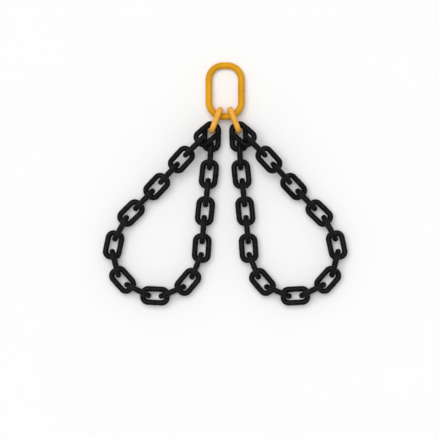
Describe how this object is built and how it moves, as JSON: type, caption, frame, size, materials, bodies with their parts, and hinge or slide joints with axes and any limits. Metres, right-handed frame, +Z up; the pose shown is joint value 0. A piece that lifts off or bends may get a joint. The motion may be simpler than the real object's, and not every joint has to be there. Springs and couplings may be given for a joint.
{
  "type": "chain sling",
  "caption": "Two-loop chain sling laid flat: an oblong master link, two connecting links and two endless teardrop loops of welded round-bar chain.",
  "frame": {"origin": "middle of the bottom of the laid sling, on the floor and on its middle line", "axes": "+Z up from the floor, +Y along the middle line towards the master link, +X across to the right loop"},
  "size_m": [1.9746, 1.9638, 0.2492],
  "materials": {
    "master_paint": "golden amber paint with light wear",
    "connector_paint": "lighter amber paint with light wear",
    "chain_black": "black coated steel"
  },
  "bodies": {
    "master_link": {"master_link": "master_paint"},
    "left_connecting_link": {"left_connecting_link": "connector_paint"},
    "right_connecting_link": {"right_connecting_link": "connector_paint"},
    "left_link_01": {"left_link_01": "chain_black"},
    "left_link_02": {"left_link_02": "chain_black"},
    "left_link_03": {"left_link_03": "chain_black"},
    "left_link_04": {"left_link_04": "chain_black"},
    "left_link_05": {"left_link_05": "chain_black"},
    "left_link_06": {"left_link_06": "chain_black"},
    "left_link_07": {"left_link_07": "chain_black"},
    "left_link_08": {"left_link_08": "chain_black"},
    "left_link_09": {"left_link_09": "chain_black"},
    "left_link_10": {"left_link_10": "chain_black"},
    "left_link_11": {"left_link_11": "chain_black"},
    "left_link_12": {"left_link_12": "chain_black"},
    "left_link_13": {"left_link_13": "chain_black"},
    "left_link_14": {"left_link_14": "chain_black"},
    "left_link_15": {"left_link_15": "chain_black"},
    "left_link_16": {"left_link_16": "chain_black"},
    "left_link_17": {"left_link_17": "chain_black"},
    "left_link_18": {"left_link_18": "chain_black"},
    "left_link_19": {"left_link_19": "chain_black"},
    "left_link_20": {"left_link_20": "chain_black"},
    "left_link_21": {"left_link_21": "chain_black"},
    "left_link_22": {"left_link_22": "chain_black"},
    "left_link_23": {"left_link_23": "chain_black"},
    "right_link_01": {"right_link_01": "chain_black"},
    "right_link_02": {"right_link_02": "chain_black"},
    "right_link_03": {"right_link_03": "chain_black"},
    "right_link_04": {"right_link_04": "chain_black"},
    "right_link_05": {"right_link_05": "chain_black"},
    "right_link_06": {"right_link_06": "chain_black"},
    "right_link_07": {"right_link_07": "chain_black"},
    "right_link_08": {"right_link_08": "chain_black"},
    "right_link_09": {"right_link_09": "chain_black"},
    "right_link_10": {"right_link_10": "chain_black"},
    "right_link_11": {"right_link_11": "chain_black"},
    "right_link_12": {"right_link_12": "chain_black"},
    "right_link_13": {"right_link_13": "chain_black"},
    "right_link_14": {"right_link_14": "chain_black"},
    "right_link_15": {"right_link_15": "chain_black"},
    "right_link_16": {"right_link_16": "chain_black"},
    "right_link_17": {"right_link_17": "chain_black"},
    "right_link_18": {"right_link_18": "chain_black"},
    "right_link_19": {"right_link_19": "chain_black"},
    "right_link_20": {"right_link_20": "chain_black"},
    "right_link_21": {"right_link_21": "chain_black"},
    "right_link_22": {"right_link_22": "chain_black"},
    "right_link_23": {"right_link_23": "chain_black"}
  },
  "joints": [
    {"name": "left_connecting_link_swing", "type": "hinge", "parent": "master_link", "child": "left_connecting_link", "pos_m": [-0.04012, 0.59836, 0.094], "axis": [0, 0, -1], "range_deg": [-4, 30]},
    {"name": "left_loop_fold", "type": "hinge", "parent": "left_connecting_link", "child": "left_link_01", "pos_m": [-0.10867, 0.42868, 0.14481], "axis": [0, 0, -1], "range_deg": [-1, 9]},
    {"name": "left_link_02_hinge", "type": "hinge", "parent": "left_link_01", "child": "left_link_02", "pos_m": [-0.17955, 0.36806, 0.16405], "axis": [0, 0, -1], "range_deg": [-1.16, 10.44]},
    {"name": "left_link_03_hinge", "type": "hinge", "parent": "left_link_02", "child": "left_link_03", "pos_m": [-0.31792, 0.23186, 0.13915], "axis": [0, 0, -1], "range_deg": [-2.26, 0.25]},
    {"name": "left_link_04_hinge", "type": "hinge", "parent": "left_link_03", "child": "left_link_04", "pos_m": [-0.38581, 0.15776, 0.11536], "axis": [0, 0, -1], "range_deg": [-1.88, 0.21]},
    {"name": "left_link_05_hinge", "type": "hinge", "parent": "left_link_04", "child": "left_link_05", "pos_m": [-0.5175, 0.0141, 0.08818], "axis": [0, 0, -1], "range_deg": [-1.8, 0.2]},
    {"name": "left_link_06_hinge", "type": "hinge", "parent": "left_link_05", "child": "left_link_06", "pos_m": [-0.58611, -0.05824, 0.077], "axis": [0, 0, -1], "range_deg": [-1.8, 0.2]},
    {"name": "left_link_07_hinge", "type": "hinge", "parent": "left_link_06", "child": "left_link_07", "pos_m": [-0.72152, -0.19856, 0.0678], "axis": [0, 0, -1], "range_deg": [-1.8, 0.2]},
    {"name": "left_link_08_hinge", "type": "hinge", "parent": "left_link_07", "child": "left_link_08", "pos_m": [-0.7959, -0.27181, 0.077], "axis": [0, 0, -1], "range_deg": [-1.8, 0.2]},
    {"name": "left_link_09_hinge", "type": "hinge", "parent": "left_link_08", "child": "left_link_09", "pos_m": [-0.88849, -0.44343, 0.0678], "axis": [0, 0, -1], "range_deg": [-1.8, 0.2]},
    {"name": "left_link_10_hinge", "type": "hinge", "parent": "left_link_09", "child": "left_link_10", "pos_m": [-0.91, -0.54559, 0.077], "axis": [0, 0, -1], "range_deg": [-0.32, 2.84]},
    {"name": "left_link_11_hinge", "type": "hinge", "parent": "left_link_10", "child": "left_link_11", "pos_m": [-0.86125, -0.7344, 0.0678], "axis": [0, 0, -1], "range_deg": [-1.35, 0.15]},
    {"name": "left_link_12_hinge", "type": "hinge", "parent": "left_link_11", "child": "left_link_12", "pos_m": [-0.79223, -0.81272, 0.077], "axis": [0, 0, -1], "range_deg": [-0.3, 2.74]},
    {"name": "left_link_13_hinge", "type": "hinge", "parent": "left_link_12", "child": "left_link_13", "pos_m": [-0.61767, -0.89965, 0.0678], "axis": [0, 0, -1], "range_deg": [-0.15, 1.35]},
    {"name": "left_link_23_hinge", "type": "hinge", "parent": "left_connecting_link", "child": "left_link_23", "pos_m": [-0.10867, 0.42868, 0.0678], "axis": [0, 0, -1], "range_deg": [-0.54, 4.89]},
    {"name": "left_link_22_hinge", "type": "hinge", "parent": "left_link_23", "child": "left_link_22", "pos_m": [-0.11225, 0.32434, 0.077], "axis": [0, 0, -1], "range_deg": [-0.21, 1.93]},
    {"name": "left_link_21_hinge", "type": "hinge", "parent": "left_link_22", "child": "left_link_21", "pos_m": [-0.12581, 0.12982, 0.0678], "axis": [0, 0, -1], "range_deg": [-0.2, 1.8]},
    {"name": "left_link_20_hinge", "type": "hinge", "parent": "left_link_21", "child": "left_link_20", "pos_m": [-0.13676, 0.02599, 0.077], "axis": [0, 0, -1], "range_deg": [-0.15, 1.35]},
    {"name": "left_link_19_hinge", "type": "hinge", "parent": "left_link_20", "child": "left_link_19", "pos_m": [-0.15729, -0.16792, 0.0678], "axis": [0, 0, -1], "range_deg": [-0.15, 1.35]},
    {"name": "left_link_18_hinge", "type": "hinge", "parent": "left_link_19", "child": "left_link_18", "pos_m": [-0.16825, -0.27175, 0.077], "axis": [0, 0, -1], "range_deg": [-0.15, 1.35]},
    {"name": "left_link_17_hinge", "type": "hinge", "parent": "left_link_18", "child": "left_link_17", "pos_m": [-0.18529, -0.466, 0.0678], "axis": [0, 0, -1], "range_deg": [-0.15, 1.35]},
    {"name": "left_link_16_hinge", "type": "hinge", "parent": "left_link_17", "child": "left_link_16", "pos_m": [-0.19256, -0.57015, 0.077], "axis": [0, 0, -1], "range_deg": [-0.16, 1.46]},
    {"name": "left_link_15_hinge", "type": "hinge", "parent": "left_link_16", "child": "left_link_15", "pos_m": [-0.26711, -0.75034, 0.0678], "axis": [0, 0, -1], "range_deg": [-0.22, 1.97]},
    {"name": "left_link_14_hinge", "type": "hinge", "parent": "left_link_15", "child": "left_link_14", "pos_m": [-0.33489, -0.82974, 0.077], "axis": [0, 0, -1], "range_deg": [-0.17, 1.54]},
    {"name": "right_connecting_link_swing", "type": "hinge", "parent": "master_link", "child": "right_connecting_link", "pos_m": [0.04012, 0.59836, 0.094], "axis": [0, 0, 1], "range_deg": [-4, 30]},
    {"name": "right_loop_fold", "type": "hinge", "parent": "right_connecting_link", "child": "right_link_01", "pos_m": [0.10867, 0.42868, 0.14481], "axis": [0, 0, 1], "range_deg": [-1, 9]},
    {"name": "right_link_02_hinge", "type": "hinge", "parent": "right_link_01", "child": "right_link_02", "pos_m": [0.17955, 0.36806, 0.16405], "axis": [0, 0, 1], "range_deg": [-1.16, 10.44]},
    {"name": "right_link_03_hinge", "type": "hinge", "parent": "right_link_02", "child": "right_link_03", "pos_m": [0.31792, 0.23186, 0.13915], "axis": [0, 0, 1], "range_deg": [-2.26, 0.25]},
    {"name": "right_link_04_hinge", "type": "hinge", "parent": "right_link_03", "child": "right_link_04", "pos_m": [0.38581, 0.15776, 0.11536], "axis": [0, 0, 1], "range_deg": [-1.88, 0.21]},
    {"name": "right_link_05_hinge", "type": "hinge", "parent": "right_link_04", "child": "right_link_05", "pos_m": [0.5175, 0.0141, 0.08818], "axis": [0, 0, 1], "range_deg": [-1.8, 0.2]},
    {"name": "right_link_06_hinge", "type": "hinge", "parent": "right_link_05", "child": "right_link_06", "pos_m": [0.58611, -0.05824, 0.077], "axis": [0, 0, 1], "range_deg": [-1.8, 0.2]},
    {"name": "right_link_07_hinge", "type": "hinge", "parent": "right_link_06", "child": "right_link_07", "pos_m": [0.72152, -0.19856, 0.0678], "axis": [0, 0, 1], "range_deg": [-1.8, 0.2]},
    {"name": "right_link_08_hinge", "type": "hinge", "parent": "right_link_07", "child": "right_link_08", "pos_m": [0.7959, -0.27181, 0.077], "axis": [0, 0, 1], "range_deg": [-1.8, 0.2]},
    {"name": "right_link_09_hinge", "type": "hinge", "parent": "right_link_08", "child": "right_link_09", "pos_m": [0.88849, -0.44343, 0.0678], "axis": [0, 0, 1], "range_deg": [-1.8, 0.2]},
    {"name": "right_link_10_hinge", "type": "hinge", "parent": "right_link_09", "child": "right_link_10", "pos_m": [0.91, -0.54559, 0.077], "axis": [0, 0, 1], "range_deg": [-0.32, 2.84]},
    {"name": "right_link_11_hinge", "type": "hinge", "parent": "right_link_10", "child": "right_link_11", "pos_m": [0.86125, -0.7344, 0.0678], "axis": [0, 0, 1], "range_deg": [-1.35, 0.15]},
    {"name": "right_link_12_hinge", "type": "hinge", "parent": "right_link_11", "child": "right_link_12", "pos_m": [0.79223, -0.81272, 0.077], "axis": [0, 0, 1], "range_deg": [-0.3, 2.74]},
    {"name": "right_link_13_hinge", "type": "hinge", "parent": "right_link_12", "child": "right_link_13", "pos_m": [0.61767, -0.89965, 0.0678], "axis": [0, 0, 1], "range_deg": [-0.15, 1.35]},
    {"name": "right_link_23_hinge", "type": "hinge", "parent": "right_connecting_link", "child": "right_link_23", "pos_m": [0.10867, 0.42868, 0.0678], "axis": [0, 0, 1], "range_deg": [-0.54, 4.89]},
    {"name": "right_link_22_hinge", "type": "hinge", "parent": "right_link_23", "child": "right_link_22", "pos_m": [0.11225, 0.32434, 0.077], "axis": [0, 0, 1], "range_deg": [-0.21, 1.93]},
    {"name": "right_link_21_hinge", "type": "hinge", "parent": "right_link_22", "child": "right_link_21", "pos_m": [0.12581, 0.12982, 0.0678], "axis": [0, 0, 1], "range_deg": [-0.2, 1.8]},
    {"name": "right_link_20_hinge", "type": "hinge", "parent": "right_link_21", "child": "right_link_20", "pos_m": [0.13676, 0.02599, 0.077], "axis": [0, 0, 1], "range_deg": [-0.15, 1.35]},
    {"name": "right_link_19_hinge", "type": "hinge", "parent": "right_link_20", "child": "right_link_19", "pos_m": [0.15729, -0.16792, 0.0678], "axis": [0, 0, 1], "range_deg": [-0.15, 1.35]},
    {"name": "right_link_18_hinge", "type": "hinge", "parent": "right_link_19", "child": "right_link_18", "pos_m": [0.16825, -0.27175, 0.077], "axis": [0, 0, 1], "range_deg": [-0.15, 1.35]},
    {"name": "right_link_17_hinge", "type": "hinge", "parent": "right_link_18", "child": "right_link_17", "pos_m": [0.18529, -0.466, 0.0678], "axis": [0, 0, 1], "range_deg": [-0.15, 1.35]},
    {"name": "right_link_16_hinge", "type": "hinge", "parent": "right_link_17", "child": "right_link_16", "pos_m": [0.19256, -0.57015, 0.077], "axis": [0, 0, 1], "range_deg": [-0.16, 1.46]},
    {"name": "right_link_15_hinge", "type": "hinge", "parent": "right_link_16", "child": "right_link_15", "pos_m": [0.26711, -0.75034, 0.0678], "axis": [0, 0, 1], "range_deg": [-0.22, 1.97]},
    {"name": "right_link_14_hinge", "type": "hinge", "parent": "right_link_15", "child": "right_link_14", "pos_m": [0.33489, -0.82974, 0.077], "axis": [0, 0, 1], "range_deg": [-0.17, 1.54]}
  ],
  "couplings": [
    {"joint": "left_link_02_hinge", "follows": "left_loop_fold", "ratio": 1.16},
    {"joint": "left_link_03_hinge", "follows": "left_loop_fold", "ratio": -0.251},
    {"joint": "left_link_04_hinge", "follows": "left_loop_fold", "ratio": -0.209},
    {"joint": "left_link_05_hinge", "follows": "left_loop_fold", "ratio": -0.2},
    {"joint": "left_link_06_hinge", "follows": "left_loop_fold", "ratio": -0.2},
    {"joint": "left_link_07_hinge", "follows": "left_loop_fold", "ratio": -0.2},
    {"joint": "left_link_08_hinge", "follows": "left_loop_fold", "ratio": -0.2},
    {"joint": "left_link_09_hinge", "follows": "left_loop_fold", "ratio": -0.2},
    {"joint": "left_link_10_hinge", "follows": "left_loop_fold", "ratio": 0.315},
    {"joint": "left_link_11_hinge", "follows": "left_loop_fold", "ratio": -0.15},
    {"joint": "left_link_12_hinge", "follows": "left_loop_fold", "ratio": 0.304},
    {"joint": "left_link_13_hinge", "follows": "left_loop_fold", "ratio": 0.15},
    {"joint": "left_link_23_hinge", "follows": "left_loop_fold", "ratio": 0.543},
    {"joint": "left_link_22_hinge", "follows": "left_loop_fold", "ratio": 0.214},
    {"joint": "left_link_21_hinge", "follows": "left_loop_fold", "ratio": 0.2},
    {"joint": "left_link_20_hinge", "follows": "left_loop_fold", "ratio": 0.15},
    {"joint": "left_link_19_hinge", "follows": "left_loop_fold", "ratio": 0.15},
    {"joint": "left_link_18_hinge", "follows": "left_loop_fold", "ratio": 0.15},
    {"joint": "left_link_17_hinge", "follows": "left_loop_fold", "ratio": 0.15},
    {"joint": "left_link_16_hinge", "follows": "left_loop_fold", "ratio": 0.162},
    {"joint": "left_link_15_hinge", "follows": "left_loop_fold", "ratio": 0.219},
    {"joint": "left_link_14_hinge", "follows": "left_loop_fold", "ratio": 0.171},
    {"joint": "right_link_02_hinge", "follows": "right_loop_fold", "ratio": 1.16},
    {"joint": "right_link_03_hinge", "follows": "right_loop_fold", "ratio": -0.251},
    {"joint": "right_link_04_hinge", "follows": "right_loop_fold", "ratio": -0.209},
    {"joint": "right_link_05_hinge", "follows": "right_loop_fold", "ratio": -0.2},
    {"joint": "right_link_06_hinge", "follows": "right_loop_fold", "ratio": -0.2},
    {"joint": "right_link_07_hinge", "follows": "right_loop_fold", "ratio": -0.2},
    {"joint": "right_link_08_hinge", "follows": "right_loop_fold", "ratio": -0.2},
    {"joint": "right_link_09_hinge", "follows": "right_loop_fold", "ratio": -0.2},
    {"joint": "right_link_10_hinge", "follows": "right_loop_fold", "ratio": 0.315},
    {"joint": "right_link_11_hinge", "follows": "right_loop_fold", "ratio": -0.15},
    {"joint": "right_link_12_hinge", "follows": "right_loop_fold", "ratio": 0.304},
    {"joint": "right_link_13_hinge", "follows": "right_loop_fold", "ratio": 0.15},
    {"joint": "right_link_23_hinge", "follows": "right_loop_fold", "ratio": 0.543},
    {"joint": "right_link_22_hinge", "follows": "right_loop_fold", "ratio": 0.214},
    {"joint": "right_link_21_hinge", "follows": "right_loop_fold", "ratio": 0.2},
    {"joint": "right_link_20_hinge", "follows": "right_loop_fold", "ratio": 0.15},
    {"joint": "right_link_19_hinge", "follows": "right_loop_fold", "ratio": 0.15},
    {"joint": "right_link_18_hinge", "follows": "right_loop_fold", "ratio": 0.15},
    {"joint": "right_link_17_hinge", "follows": "right_loop_fold", "ratio": 0.15},
    {"joint": "right_link_16_hinge", "follows": "right_loop_fold", "ratio": 0.162},
    {"joint": "right_link_15_hinge", "follows": "right_loop_fold", "ratio": 0.219},
    {"joint": "right_link_14_hinge", "follows": "right_loop_fold", "ratio": 0.171}
  ]
}
